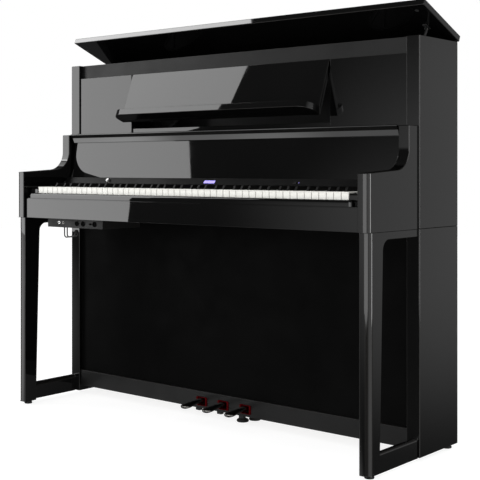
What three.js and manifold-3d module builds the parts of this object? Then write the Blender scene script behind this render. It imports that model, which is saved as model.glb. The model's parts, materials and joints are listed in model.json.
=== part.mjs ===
// A furniture-style digital upright piano: tall case with an opened top lid, a tilted music rest,
// a raised fallboard over 88 keys, two open leg frames, three pedals and a jack box.
// Units are millimetres. X runs to the player's right, Y to the back, Z up.
// While the parts are laid out, Y = 0 is the front face of the case sides and Z = 0 is the floor.

import * as THREE from 'three';
import { mergeVertices } from 'three/addons/utils/BufferGeometryUtils.js';
import Module from 'manifold-3d';

const wasm = await Module();
wasm.setup();

// ---------------------------------------------------------------- driving dimensions

const GAP = 0.3;

// case
const CASE_HALF = 692;
const SIDE_THICKNESS = 40;
const CASE_DEPTH = 217;
const CASE_TOP = 1155;
const CASE_SEAM = 630;
const CASE_BOTTOM = 10.7;
const INNER_HALF = CASE_HALF - SIDE_THICKNESS - GAP;

// arms and leg frames
const ARM_OUTER = 686;
const ARM_INNER = 651.4;
const ARM_REACH = 252;
const ARM_BOTTOM = 629.4;
const ARM_HIGH_TOP = 910;
const LEG_FRONT = -241.4;
const LEG_BOTTOM = 9;

// keyboard: 52 naturals, 36 sharps
const NATURAL_PITCH = 23.5;
const NATURAL_COUNT = 52;
const KEY_FRONT = -224.2;
const KEY_TOP = 732.3;
const KEY_DEPTH = 20.4;
const KEY_BOTTOM = KEY_TOP - KEY_DEPTH;
const KEY_HEAD = 50;
const KEY_SIDE_GAP = 0.5;
const KEY_COVERED_FROM = -84;
const SHARP_WIDTH = 11;
const SHARP_CLEARANCE = 1;
const SHARP_FRONT = KEY_FRONT + KEY_HEAD + 2;
const SHARP_RISE = 12.2;
const SHARP_BOTTOM = 722;
const NATURAL_TAIL_END = 16;
const SHARP_TAIL_END = 30;

// keybed
const KEYBED_BOTTOM = 636;
const KEYBED_TOP = 660;

// fallboard: its side brackets turn on pins at the ends of the control panel
const FALL_PIVOT = { y: -67, z: 740.5 };
const FALL_LEAN = 5;
const FALL_HALF = 648;

// top lid, hinged along the rear edge of the case
const LID_HINGE = { y: 220, z: 1155.6 };
const LID_OPEN = 22;
const LID_HALF = 695;
const LID_REACH = 221;
const LID_REAR = 2;
const LID_THICKNESS = 18;
const STAY_SWING = -13.2;

// music rest, hinged under the top rail
const REST_HINGE = { y: 12, z: 1102 };
const REST_TILT = 20.5;
const REST_HALF = 396;
const PANEL_FRONT = 5;
const PANEL_THICKNESS = 16;
const PANEL_TOP = 1109;

// pedals
const PEDAL_PITCH = 88;
const PEDAL_PIVOT = { y: 140, z: 58 };
const TOE_RAIL_BOTTOM = 30;
const TOE_RAIL_TOP = 84;
const TOE_RAIL_FRONT = 6;
const LOWER_PANEL_REAR = 26;

const piano = new THREE.Group();

// ---------------------------------------------------------------- materials

const finish = (color, roughness, metalness = 0) =>
  new THREE.MeshStandardMaterial({ color, roughness, metalness });

const polishedEbony = () => finish(0x0b0b0c, 0.08);
const satinEbony = () => finish(0x161617, 0.45);
const innerBoard = () => finish(0x2a2420, 0.8);
const ivory = () => finish(0xf1efe6, 0.35);
const ebonyKey = () => finish(0x101011, 0.5);
const darkChrome = () => finish(0x6c6a66, 0.18, 1);
const blackSteel = () => finish(0x18181a, 0.4, 0.8);
const blackPlastic = () => finish(0x1b1b1d, 0.5);
const rubber = () => finish(0x0d0d0d, 0.85);
const speakerCone = () => finish(0x1d1d1f, 0.7);
const circuitBoard = () => finish(0x17452c, 0.5);

// ---------------------------------------------------------------- solid helpers

const ALONG_X = new THREE.Matrix4().makeBasis(
  new THREE.Vector3(0, 1, 0),
  new THREE.Vector3(0, 0, 1),
  new THREE.Vector3(1, 0, 0)
);

function block([x0, x1], [y0, y1], [z0, z1]) {
  const geometry = new THREE.BoxGeometry(x1 - x0, y1 - y0, z1 - z0);
  return geometry.translate((x0 + x1) / 2, (y0 + y1) / 2, (z0 + z1) / 2);
}

// an outline in (Y, Z), extruded from x0 to x1
function extrudeAcross(outline, [x0, x1], curveSegments = 8) {
  const options = { depth: x1 - x0, bevelEnabled: false, curveSegments };
  const geometry = new THREE.ExtrudeGeometry(outline, options);
  return geometry.applyMatrix4(ALONG_X).translate(x0, 0, 0);
}

// an outline in (X, Y), extruded from z0 to z1
function extrudeUp(outline, [z0, z1], curveSegments = 8) {
  const options = { depth: z1 - z0, bevelEnabled: false, curveSegments };
  const geometry = new THREE.ExtrudeGeometry(outline, options);
  return geometry.translate(0, 0, z0);
}

function outlineOf(points) {
  return new THREE.Shape(points.map(([a, b]) => new THREE.Vector2(a, b)));
}

function disc(radius, [z0, z1], x, y, segments = 24) {
  const geometry = new THREE.CylinderGeometry(radius, radius, z1 - z0, segments);
  return geometry.rotateX(Math.PI / 2).translate(x, y, (z0 + z1) / 2);
}

function solid(geometry) {
  const bare = geometry.clone();
  bare.deleteAttribute('normal');
  bare.deleteAttribute('uv');
  const merged = mergeVertices(bare, 1e-4);
  const vertProperties = new Float32Array(merged.attributes.position.array);
  const triVerts = new Uint32Array(merged.index.array);
  return new wasm.Manifold(new wasm.Mesh({ numProp: 3, vertProperties, triVerts }));
}

function geometryOf(manifold) {
  const mesh = manifold.getMesh();
  const geometry = new THREE.BufferGeometry();
  geometry.setAttribute('position', new THREE.BufferAttribute(mesh.vertProperties, 3));
  geometry.setIndex(new THREE.BufferAttribute(mesh.triVerts, 1));
  return geometry;
}

const joined = (...geometries) => geometryOf(geometries.map(solid).reduce((a, b) => a.add(b)));

const cut = (geometry, ...tools) =>
  geometryOf(tools.map(solid).reduce((a, b) => a.subtract(b), solid(geometry)));

const common = (first, second) => geometryOf(solid(first).intersect(solid(second)));

function place(name, geometry, material, parent = piano) {
  const mesh = new THREE.Mesh(geometry, material);
  mesh.name = name;
  parent.add(mesh);
  return mesh;
}

// the X span of a piece on the left (-1) or right (+1), given its inner and outer distance
const span = (side, inner, outer) => (side > 0 ? [inner, outer] : [-outer, -inner]);

const SIDES = [['left', -1], ['right', 1]];

const radians = THREE.MathUtils.degToRad;

// a group that turns about an X axis through (y, z)
function turned({ y, z }, degrees) {
  const group = new THREE.Group();
  group.position.set(0, y, z);
  group.rotation.x = radians(degrees);
  piano.add(group);
  return group;
}

// ---------------------------------------------------------------- case

const BACK_THICKNESS = 11;
const BACK_FRONT = CASE_DEPTH - 0.5 - BACK_THICKNESS;

function caseSides() {
  // a ledge inside the right side that the lid's stay stands on
  const catchLedge = block([640, 660], [60, 112], [1128, 1142.3]);
  for (const [label, side] of SIDES) {
    const xs = span(side, CASE_HALF - SIDE_THICKNESS, CASE_HALF);
    const upper = block(xs, [0, CASE_DEPTH], [CASE_SEAM + GAP, CASE_TOP]);
    place(`upper_side_${label}`, side > 0 ? joined(upper, catchLedge) : upper, polishedEbony());
    place(`lower_side_${label}`, block(xs, [0, CASE_DEPTH], [CASE_BOTTOM, CASE_SEAM]), polishedEbony());
  }
}

const INLET = { x: [470, 520], z: [380, 412] };

function backPanels() {
  const xs = [-INNER_HALF, INNER_HALF];
  const ys = [BACK_FRONT, BACK_FRONT + BACK_THICKNESS];
  place('upper_back_panel', block(xs, ys, [CASE_SEAM + GAP, CASE_TOP - 1]), satinEbony());
  const inletHole = block(
    [INLET.x[0] - GAP, INLET.x[1] + GAP],
    [ys[0] - 1, ys[1] + 1],
    [INLET.z[0] - GAP, INLET.z[1] + GAP]
  );
  place('lower_back_panel', cut(block(xs, ys, [TOE_RAIL_BOTTOM + 12, CASE_SEAM]), inletHole), satinEbony());
}

function powerInlet() {
  const flangeProud = 1.5;
  const bodyDepth = 14;
  const socketHalfWidth = 12;
  const socketHalfHeight = 5;
  const body = block(INLET.x, [BACK_FRONT - bodyDepth, CASE_DEPTH + flangeProud], INLET.z);
  const middle = { x: (INLET.x[0] + INLET.x[1]) / 2, z: (INLET.z[0] + INLET.z[1]) / 2 };
  const socket = block(
    [middle.x - socketHalfWidth, middle.x + socketHalfWidth],
    [BACK_FRONT - 2, CASE_DEPTH + 5],
    [middle.z - socketHalfHeight, middle.z + socketHalfHeight]
  );
  place('power_inlet', cut(body, socket), blackPlastic());
}

const PEDAL_SLOT = { half: 21.5, z: [38.5, 66.5] };

function pedalSlot(x) {
  const xs = [x - PEDAL_SLOT.half, x + PEDAL_SLOT.half];
  return block(xs, [TOE_RAIL_FRONT - 1, LOWER_PANEL_REAR + 1], PEDAL_SLOT.z);
}

const PEDALS = [['left', -PEDAL_PITCH], ['middle', 0], ['right', PEDAL_PITCH]];

function lowerPanels() {
  const xs = [-INNER_HALF, INNER_HALF];
  const rail = block(xs, [TOE_RAIL_FRONT, LOWER_PANEL_REAR], [TOE_RAIL_BOTTOM, TOE_RAIL_TOP]);
  place('toe_rail', cut(rail, ...PEDALS.map(([, x]) => pedalSlot(x))), polishedEbony());
  const kneeFront = 14;
  const knee = block(xs, [kneeFront, LOWER_PANEL_REAR], [TOE_RAIL_TOP + GAP, KEYBED_BOTTOM - GAP]);
  place('knee_panel', knee, satinEbony());
  const board = block(xs, [LOWER_PANEL_REAR + GAP, BACK_FRONT - GAP], [TOE_RAIL_BOTTOM + GAP, 40]);
  place('bottom_board', board, innerBoard());
}

// The opening for the music rest runs up to the panel's top edge.
const OPENING = { half: 400, bottom: 931 };

function upperPanel() {
  const panelBottom = 748;
  const panel = outlineOf([
    [-INNER_HALF, panelBottom],
    [INNER_HALF, panelBottom],
    [INNER_HALF, PANEL_TOP],
    [OPENING.half, PANEL_TOP],
    [OPENING.half, OPENING.bottom],
    [-OPENING.half, OPENING.bottom],
    [-OPENING.half, PANEL_TOP],
    [-INNER_HALF, PANEL_TOP]
  ]);
  const flat = extrudeUp(panel, [0, PANEL_THICKNESS]).rotateX(Math.PI / 2);
  place('upper_front_panel', flat.translate(0, PANEL_FRONT + PANEL_THICKNESS, 0), polishedEbony());
  const railFront = 15;
  const railThickness = 20;
  const railYs = [railFront, railFront + railThickness];
  const rail = block([-INNER_HALF, INNER_HALF], railYs, [PANEL_TOP + GAP, CASE_TOP - GAP]);
  place('top_rail', rail, satinEbony());
}

// ---------------------------------------------------------------- arms and leg frames

// The arm's low top rises gently to the back, then sweeps up through a hollow round to the high part.
function armOutline() {
  const high = -47;
  const hollow = { y: -109, z: 851.5, radius: 62 };
  const frontTop = 781.4;
  const frontChamfer = 3;
  const topSlope = radians(3.4);
  const rear = -GAP;
  const shape = new THREE.Shape();
  shape.moveTo(-ARM_REACH, ARM_BOTTOM);
  shape.lineTo(rear, ARM_BOTTOM);
  shape.lineTo(rear, ARM_HIGH_TOP);
  shape.lineTo(high, ARM_HIGH_TOP);
  shape.lineTo(high, hollow.z);
  shape.absarc(hollow.y, hollow.z, hollow.radius, 0, -Math.PI / 2 + topSlope, true);
  shape.lineTo(-ARM_REACH + frontChamfer, frontTop);
  shape.lineTo(-ARM_REACH, frontTop - frontChamfer);
  return shape;
}

// A C-shaped frame: a leg that narrows downwards, a top beam and a foot beam, both reaching the case.
function legOutline() {
  const top = ARM_BOTTOM - GAP;
  const beamUnder = 608.5;
  const footTop = 63.5;
  const rear = -GAP;
  const backAtTop = -176;
  const backAtFoot = -191;
  const bigRound = 28;
  const smallRound = 6;
  const shape = new THREE.Shape();
  shape.moveTo(LEG_FRONT, LEG_BOTTOM);
  shape.lineTo(rear, LEG_BOTTOM);
  shape.lineTo(rear, footTop);
  shape.lineTo(backAtFoot + smallRound, footTop);
  shape.quadraticCurveTo(backAtFoot, footTop, backAtFoot, footTop + smallRound);
  shape.lineTo(backAtTop, beamUnder - bigRound);
  shape.absarc(backAtTop + bigRound, beamUnder - bigRound, bigRound, Math.PI, Math.PI / 2, true);
  shape.lineTo(rear, beamUnder);
  shape.lineTo(rear, top);
  shape.lineTo(LEG_FRONT, top);
  return shape;
}

function armsAndLegs() {
  const legGlide = { radius: 13, x: 669, y: -218 };
  const rearGlide = { radius: 15, x: 672, y: 187 };
  for (const [label, side] of SIDES) {
    place(`arm_${label}`, extrudeAcross(armOutline(), span(side, ARM_INNER, ARM_OUTER)), polishedEbony());
    const legSpan = span(side, ARM_INNER + 0.6, ARM_OUTER + 0.5);
    place(`leg_frame_${label}`, extrudeAcross(legOutline(), legSpan, 6), polishedEbony());
    const front = disc(legGlide.radius, [0, LEG_BOTTOM - GAP], side * legGlide.x, legGlide.y);
    place(`leg_glide_${label}`, front, rubber());
    const rear = disc(rearGlide.radius, [0, CASE_BOTTOM - GAP], side * rearGlide.x, rearGlide.y);
    place(`rear_glide_${label}`, rear, rubber());
  }
}

// ---------------------------------------------------------------- keybed and keyboard

const KEYBOARD_LEFT = -(NATURAL_COUNT * NATURAL_PITCH) / 2;
const BLOCK_INNER = -KEYBOARD_LEFT + 1.5;
const BLOCK_OUTER = 644;

function keybedParts() {
  const slipRear = -225.6;
  const slipFront = -245.5;
  const betweenArms = [-ARM_INNER + GAP, ARM_INNER - GAP];
  const keybedRear = 12;
  const keybed = block(betweenArms, [slipRear + GAP, keybedRear], [KEYBED_BOTTOM, KEYBED_TOP]);
  place('keybed', keybed, innerBoard());

  // face board with a rounded nose along its top edge
  const slip = new THREE.Shape();
  const noseTop = KEY_BOTTOM + 0.6;
  const noseRound = { along: 6, down: 7 };
  const noseUnder = 694.5;
  const groove = 2;
  slip.moveTo(slipFront + groove, ARM_BOTTOM);
  slip.lineTo(slipRear, ARM_BOTTOM);
  slip.lineTo(slipRear, noseTop);
  slip.lineTo(slipFront + noseRound.along, noseTop);
  slip.quadraticCurveTo(slipFront, noseTop, slipFront, noseTop - noseRound.down);
  slip.lineTo(slipFront, noseUnder);
  slip.lineTo(slipFront + groove + 2, noseUnder - 1);
  slip.lineTo(slipFront + groove, noseUnder - 2);
  place('key_slip', extrudeAcross(slip, betweenArms, 6), polishedEbony());

  // key frame: a base with a front rail under the key heads and a balance rail under the pivots
  const frontRail = { y: [-212, -178], top: 699 };
  const balanceRail = { y: [2, 34], top: 709 };
  const frameBase = 672;
  const frame = outlineOf([
    [frontRail.y[0], KEYBED_TOP + GAP],
    [balanceRail.y[1], KEYBED_TOP + GAP],
    [balanceRail.y[1], balanceRail.top],
    [balanceRail.y[0], balanceRail.top],
    [balanceRail.y[0], frameBase],
    [frontRail.y[1], frameBase],
    [frontRail.y[1], frontRail.top],
    [frontRail.y[0], frontRail.top]
  ]);
  const inside = BLOCK_INNER - GAP;
  place('key_frame', extrudeAcross(frame, [-inside, inside]), innerBoard());

  // end blocks; the control panel rests on their higher rear part
  const blockTop = 728.5;
  const blockRearTop = 735.2;
  const blockChamfer = 4;
  const endBlock = outlineOf([
    [slipRear + GAP, KEYBED_TOP + GAP],
    [-GAP, KEYBED_TOP + GAP],
    [-GAP, blockRearTop],
    [KEY_COVERED_FROM, blockRearTop],
    [KEY_COVERED_FROM - 6, blockTop],
    [slipRear + blockChamfer, blockTop],
    [slipRear + GAP, blockTop - blockChamfer]
  ]);
  for (const [label, side] of SIDES) {
    const shaped = extrudeAcross(endBlock, span(side, BLOCK_INNER, BLOCK_OUTER));
    place(`key_block_${label}`, shaped, polishedEbony());
  }
}

// Natural 0 is A0. A sharp follows A, C, D, F and G, shifted a little from the crack between naturals.
const LETTERS = ['A', 'B', 'C', 'D', 'E', 'F', 'G'];
const SHARP_SHIFT = { A: 4, C: -3, D: 3, F: -4, G: 0 };

const naturalLeft = (index) => KEYBOARD_LEFT + index * NATURAL_PITCH;

function sharpCentreAfter(index) {
  const letter = LETTERS[((index % 7) + 7) % 7];
  const exists = letter in SHARP_SHIFT && index >= 0 && index < NATURAL_COUNT - 1;
  return exists ? naturalLeft(index + 1) + SHARP_SHIFT[letter] : null;
}

function naturalKey(index) {
  const left = naturalLeft(index) + KEY_SIDE_GAP;
  const right = naturalLeft(index + 1) - KEY_SIDE_GAP;
  const headEnd = KEY_FRONT + KEY_HEAD;
  const reach = SHARP_WIDTH / 2 + SHARP_CLEARANCE;
  const before = sharpCentreAfter(index - 1);
  const after = sharpCentreAfter(index);
  const tailLeft = before === null ? left : before + reach;
  const tailRight = after === null ? right : after - reach;
  const points = [[left, KEY_FRONT], [right, KEY_FRONT]];
  if (after !== null) points.push([right, headEnd], [tailRight, headEnd]);
  points.push([tailRight, NATURAL_TAIL_END], [tailLeft, NATURAL_TAIL_END]);
  if (before !== null) points.push([tailLeft, headEnd], [left, headEnd]);
  return extrudeUp(outlineOf(points), [KEY_BOTTOM, KEY_TOP]);
}

function sharpKey(index) {
  const centre = sharpCentreAfter(index);
  const side = outlineOf([
    [SHARP_FRONT, SHARP_BOTTOM],
    [SHARP_TAIL_END, SHARP_BOTTOM],
    [SHARP_TAIL_END, KEY_TOP],
    [KEY_COVERED_FROM - 1, KEY_TOP],
    [KEY_COVERED_FROM - 1, KEY_TOP + SHARP_RISE],
    [SHARP_FRONT + 5, KEY_TOP + SHARP_RISE - 1],
    [SHARP_FRONT, KEY_TOP + 1]
  ]);
  return extrudeAcross(side, [centre - SHARP_WIDTH / 2, centre + SHARP_WIDTH / 2]);
}

const indexesFrom = (first, count) => Array.from({ length: count }, (_, step) => first + step);

// A bank of keys shares a crossbar at its tails, naturals low and sharps high, so each bank is one solid.
function naturalBank(name, indexes) {
  const xs = [naturalLeft(indexes[0]) + 2, naturalLeft(indexes.at(-1) + 1) - 9];
  const crossbarYs = [NATURAL_TAIL_END - 13, NATURAL_TAIL_END - 1];
  const crossbar = block(xs, crossbarYs, [KEY_BOTTOM + 0.1, KEY_BOTTOM + 8]);
  place(name, joined(crossbar, ...indexes.map(naturalKey)), ivory());
}

function sharpBank(name, indexes) {
  const centres = indexes.map(sharpCentreAfter);
  const xs = [centres[0] - 4, centres.at(-1) + 4];
  const crossbar = block(xs, [SHARP_TAIL_END - 12, SHARP_TAIL_END - 1], [SHARP_BOTTOM + 0.5, KEY_TOP - 1]);
  place(name, joined(crossbar, ...indexes.map(sharpKey)), ebonyKey());
}

function keyboard() {
  const middleC = 23;
  const octave = indexesFrom(middleC, 7);
  const low = indexesFrom(0, middleC);
  const high = indexesFrom(middleC + 7, NATURAL_COUNT - middleC - 7);
  const hasSharp = (index) => sharpCentreAfter(index) !== null;
  naturalBank('naturals_low', low);
  sharpBank('sharps_low', low.filter(hasSharp));
  for (const index of octave) {
    const letter = LETTERS[index % 7];
    place(`key_${letter}4`, naturalKey(index), ivory());
    if (hasSharp(index)) place(`key_${letter}s4`, sharpKey(index), ebonyKey());
  }
  naturalBank('naturals_high', high);
  sharpBank('sharps_high', high.filter(hasSharp));
}

// ---------------------------------------------------------------- control panel

const PANEL_SLOPE = { front: { y: -81, z: 741 }, top: { y: -61.5, z: 762.5 } };
const SLOPE_RISE = PANEL_SLOPE.top.z - PANEL_SLOPE.front.z;
const SLOPE_ANGLE = Math.atan2(SLOPE_RISE, PANEL_SLOPE.top.y - PANEL_SLOPE.front.y);

// a group on the sloping face, a fraction of the way up, whose Z axis is the face's outward normal
function onSlope(x, fraction) {
  const group = new THREE.Group();
  const { front, top } = PANEL_SLOPE;
  const y = front.y + (top.y - front.y) * fraction;
  const z = front.z + (top.z - front.z) * fraction;
  group.position.set(x, y, z);
  group.rotation.x = SLOPE_ANGLE;
  piano.add(group);
  return group;
}

function controls() {
  const under = 735.5;
  const rear = -58.5;
  const section = outlineOf([
    [PANEL_SLOPE.front.y, under],
    [rear, under],
    [rear, PANEL_SLOPE.top.z],
    [PANEL_SLOPE.top.y + 0.8, PANEL_SLOPE.top.z + 0.7],
    [PANEL_SLOPE.top.y, PANEL_SLOPE.top.z],
    [PANEL_SLOPE.front.y, PANEL_SLOPE.front.z]
  ]);
  const buttonSeat = onSlope(330, 0.5);
  buttonSeat.updateMatrix();
  const pocket = block([-6.6, 6.6], [-4.6, 4.6], [-3.6, 4]).applyMatrix4(buttonSeat.matrix);
  const panel = extrudeAcross(section, [-BLOCK_OUTER + 1, BLOCK_OUTER - 1]);
  place('control_panel', cut(panel, pocket), satinEbony());
  place('power_button', block([-6, 6], [-4, 4], [-2, 1.8]), blackPlastic(), buttonSeat);
  place('volume_knob', disc(7.5, [GAP, 8], 0, 0), blackPlastic(), onSlope(-433, 0.5));
}

// ---------------------------------------------------------------- fallboard

// In the group's own axes Y is through the board, Z is along it, and the pivot is at the origin.
function fallboard() {
  const group = turned(FALL_PIVOT, -FALL_LEAN);
  const face = 28.7;
  const back = face + 14;
  const boardHalf = 645.3;
  const edge = 173;
  const stepUnder = 144.5;
  const lipUnder = 160.5;
  const stepFront = 16;
  const lipFront = 5.6;
  const board = block([-boardHalf, boardHalf], [face, back], [4, edge]);
  const step = block([-FALL_HALF, FALL_HALF], [stepFront, face + 5], [stepUnder, lipUnder + 0.5]);
  const lip = block([-FALL_HALF, FALL_HALF], [lipFront, face + 5], [lipUnder, edge]);
  const plate = new THREE.Shape();
  plate.absarc(0, 0, 10, radians(100), radians(300), false);
  plate.lineTo(face + 6, 3);
  plate.lineTo(back, 8);
  plate.lineTo(back, 60);
  plate.lineTo(face + 4, 60);
  plate.lineTo(face - 6, 24);
  const brackets = SIDES.flatMap(([, side]) => {
    const pin = new THREE.CylinderGeometry(5, 5, 3.2, 20).rotateZ(Math.PI / 2);
    return [
      extrudeAcross(plate, span(side, boardHalf - 0.8, FALL_HALF)),
      pin.translate(side * (FALL_HALF + 1.5), 0, 0)
    ];
  });
  place('fallboard', joined(board, step, lip, ...brackets), polishedEbony(), group);

  const stopFront = -9;
  const stopHeight = [872, 904];
  const stop = block([-ARM_INNER + GAP, ARM_INNER - GAP], [stopFront, PANEL_FRONT - GAP], stopHeight);
  place('fallboard_stop_rail', stop, satinEbony());
}

// ---------------------------------------------------------------- music rest

// The ledge is rounded to its ends and has a low lip along the front.
function ledgeOutline(half, front, rear, roundX, roundY) {
  const shape = new THREE.Shape();
  shape.moveTo(-half, rear);
  shape.lineTo(-half, front + roundY);
  shape.bezierCurveTo(-half, front + roundY * 0.4, -half + roundX * 0.5, front, -half + roundX, front);
  shape.lineTo(half - roundX, front);
  shape.bezierCurveTo(half - roundX * 0.5, front, half, front + roundY * 0.4, half, front + roundY);
  shape.lineTo(half, rear);
  return shape;
}

// In the group's own axes the rest is closed: upright and flush with the panel.
function musicRest() {
  const group = turned(REST_HINGE, -REST_TILT);
  const boardThickness = 14;
  const boardFront = PANEL_FRONT - REST_HINGE.y;
  const boardBack = boardFront + boardThickness;
  const boardTop = 6;
  const ledgeTop = -143;
  const ledgeBottom = -163;
  const tray = -151;
  const ledgeFront = boardBack - 66;
  const lip = 7;
  const board = block([-REST_HALF, REST_HALF], [boardFront, boardBack], [ledgeTop + GAP, boardTop]);
  place('music_rest_board', board, polishedEbony(), group);
  const outer = extrudeUp(ledgeOutline(REST_HALF, ledgeFront, boardBack, 50, 54), [ledgeBottom, ledgeTop]);
  const inner = ledgeOutline(REST_HALF - lip, ledgeFront + lip, boardFront - 1, 46, 40);
  place('music_rest_ledge', cut(outer, extrudeUp(inner, [tray, ledgeTop + 1])), polishedEbony(), group);
}

// ---------------------------------------------------------------- top lid and its stay

function topLid() {
  const group = turned(LID_HINGE, -LID_OPEN);
  const underside = 0.2;
  const lid = block([-LID_HALF, LID_HALF], [-LID_REACH, LID_REAR], [underside, underside + LID_THICKNESS]);
  place('top_lid', lid, polishedEbony(), group);

  // a short strut that hangs from a hinge under the lid and stands on the ledge in the case side
  const strut = new THREE.Group();
  strut.position.set(0, -100, -7);
  strut.rotation.x = radians(STAY_SWING);
  group.add(strut);
  const length = 46;
  const half = 4;
  const strutSpan = [644, 648];
  const shape = new THREE.Shape();
  shape.absarc(0, 0, half, 0, Math.PI, false);
  shape.absarc(0, -length, half, Math.PI, 2 * Math.PI, false);
  place('lid_stay', extrudeAcross(shape, strutSpan, 6), blackSteel(), strut);
}

// ---------------------------------------------------------------- pedals

function pedalPlan(x) {
  const arm = 12;
  const toe = 17;
  const tip = -87;
  const shape = new THREE.Shape();
  shape.moveTo(x - arm, PEDAL_PIVOT.y + 12);
  shape.lineTo(x - arm, -22);
  shape.bezierCurveTo(x - arm, -40, x - toe, -44, x - toe, tip + toe);
  shape.absarc(x, tip + toe, toe, Math.PI, 2 * Math.PI, false);
  shape.bezierCurveTo(x + toe, -44, x + arm, -40, x + arm, -22);
  shape.lineTo(x + arm, PEDAL_PIVOT.y + 12);
  return shape;
}

// side view: level along the rear, bending down towards the toe
function pedalSide() {
  const thick = 11;
  const upper = PEDAL_PIVOT.z + 5;
  const toeDrop = 9;
  const shape = new THREE.Shape();
  const rear = PEDAL_PIVOT.y + 20;
  shape.moveTo(rear, upper - thick);
  shape.lineTo(rear, upper);
  shape.lineTo(20, upper);
  shape.bezierCurveTo(-20, upper, -50, upper - toeDrop, -90, upper - toeDrop);
  shape.lineTo(-90, upper - toeDrop - thick);
  shape.bezierCurveTo(-50, upper - toeDrop - thick, -20, upper - thick, 20, upper - thick);
  return shape;
}

function pedals() {
  for (const [label, x] of PEDALS) {
    const plan = extrudeUp(pedalPlan(x), [30, 80], 6);
    const side = extrudeAcross(pedalSide(), [x - 30, x + 30], 6);
    place(`pedal_${label}`, common(plan, side), darkChrome());
  }

  // base plate with four upright ears that carry the pedal pivots
  const plate = block([-122, 122], [60, 172], [40 + GAP, 44.5]);
  const earHalf = 16;
  const ears = [-132, -44, 44, 132].map((x) => {
    const inner = Math.max(-122, x - earHalf * 1.4);
    const outer = Math.min(122, x + earHalf * 1.4);
    return block([inner, outer], [PEDAL_PIVOT.y - 14, PEDAL_PIVOT.y + 14], [44, 70]);
  });
  place('pedal_base', joined(plate, ...ears), blackSteel());

  const foot = new THREE.LatheGeometry(
    [[0, 0], [19, 0], [19, 6], [9, 9], [6, 9], [6, TOE_RAIL_BOTTOM], [0, TOE_RAIL_BOTTOM]]
      .map(([radius, height]) => new THREE.Vector2(radius, height)),
    24
  );
  place('adjuster_foot', foot.rotateX(Math.PI / 2).translate(40, 54, 0), rubber());
}

// ---------------------------------------------------------------- jack box and headphone hook

const JACK_BOX = { x: [-562, -302], y: [-225, -55], z: [601, KEYBED_BOTTOM - GAP] };
const JACKS = [-505, -485];
const JACK_HEIGHT = 616.5;

function jackBox() {
  const depth = 22;
  const bores = JACKS.map((x) => {
    const bore = new THREE.CylinderGeometry(3.6, 3.6, depth, 16);
    return bore.translate(x, JACK_BOX.y[0] + depth / 2 - 1, JACK_HEIGHT);
  });
  place('jack_box', cut(block(JACK_BOX.x, JACK_BOX.y, JACK_BOX.z), ...bores), blackPlastic());
}

// One wire: down from the box, across, and up again at the tip.
function headphoneHook() {
  const y = -200;
  const down = -501;
  const tip = -450;
  const low = 566;
  const path = new THREE.CurvePath();
  const point = (x, z) => new THREE.Vector3(x, y, z);
  path.add(new THREE.LineCurve3(point(down, JACK_BOX.z[0] - GAP), point(down, low + 8)));
  path.add(new THREE.QuadraticBezierCurve3(point(down, low + 8), point(down, low), point(down + 8, low + 1)));
  path.add(new THREE.LineCurve3(point(down + 8, low + 1), point(tip - 8, low + 8)));
  path.add(
    new THREE.QuadraticBezierCurve3(point(tip - 8, low + 8), point(tip, low + 9), point(tip, low + 17))
  );
  path.add(new THREE.LineCurve3(point(tip, low + 17), point(tip, low + 23)));
  const wire = new THREE.Shape();
  wire.absarc(0, 0, 2.6, 0, 2 * Math.PI, false);
  const geometry = new THREE.ExtrudeGeometry(wire, { extrudePath: path, steps: 30, curveSegments: 8 });
  place('headphone_hook', geometry, blackSteel());
}

// ---------------------------------------------------------------- sound and electronics

const SPEAKER = { x: 430, z: 1010 };

function electronics() {
  const mount = BACK_FRONT - GAP;
  // radius and depth around the speaker's outline: magnet, basket, rim, then the cone's hollow
  const magnet = [[0, 62], [26, 62], [26, 42]];
  const basket = [[44, 30], [74, 8], [82, 8], [82, 0]];
  const hollow = [[72, 0], [24, 34], [0, 40]];
  const profile = [...magnet, ...basket, ...hollow];
  for (const [label, side] of SIDES) {
    const cone = new THREE.LatheGeometry(profile.map(([r, h]) => new THREE.Vector2(r, h)).reverse(), 28);
    const placed = cone.rotateX(Math.PI).translate(side * SPEAKER.x, mount, SPEAKER.z);
    place(`speaker_${label}`, placed, speakerCone());
  }
  const boardHalf = 190;
  const boardThickness = 14;
  const boardHeight = [780, 880];
  const board = block([-boardHalf, boardHalf], [mount - boardThickness, mount], boardHeight);
  place('main_board', board, circuitBoard());
}

// ---------------------------------------------------------------- assembly

caseSides();
backPanels();
powerInlet();
lowerPanels();
upperPanel();
armsAndLegs();
keybedParts();
keyboard();
controls();
fallboard();
musicRest();
topLid();
pedals();
jackBox();
headphoneHook();
electronics();

// The finished object's origin is on the floor under the middle of its outline.
const lidRear = LID_HINGE.y
  + LID_REAR * Math.cos(radians(LID_OPEN))
  + (LID_THICKNESS + 0.2) * Math.sin(radians(LID_OPEN));
piano.position.y = (ARM_REACH - lidRear) / 2;

export default piano;
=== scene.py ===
# The looks of an upright piano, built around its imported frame.
# Lengths are in metres in the frame's axes: +X to the player's right, +Y to the back, +Z up.

import json
import math

import bmesh
import bpy
from mathutils import Matrix, Vector

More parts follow.
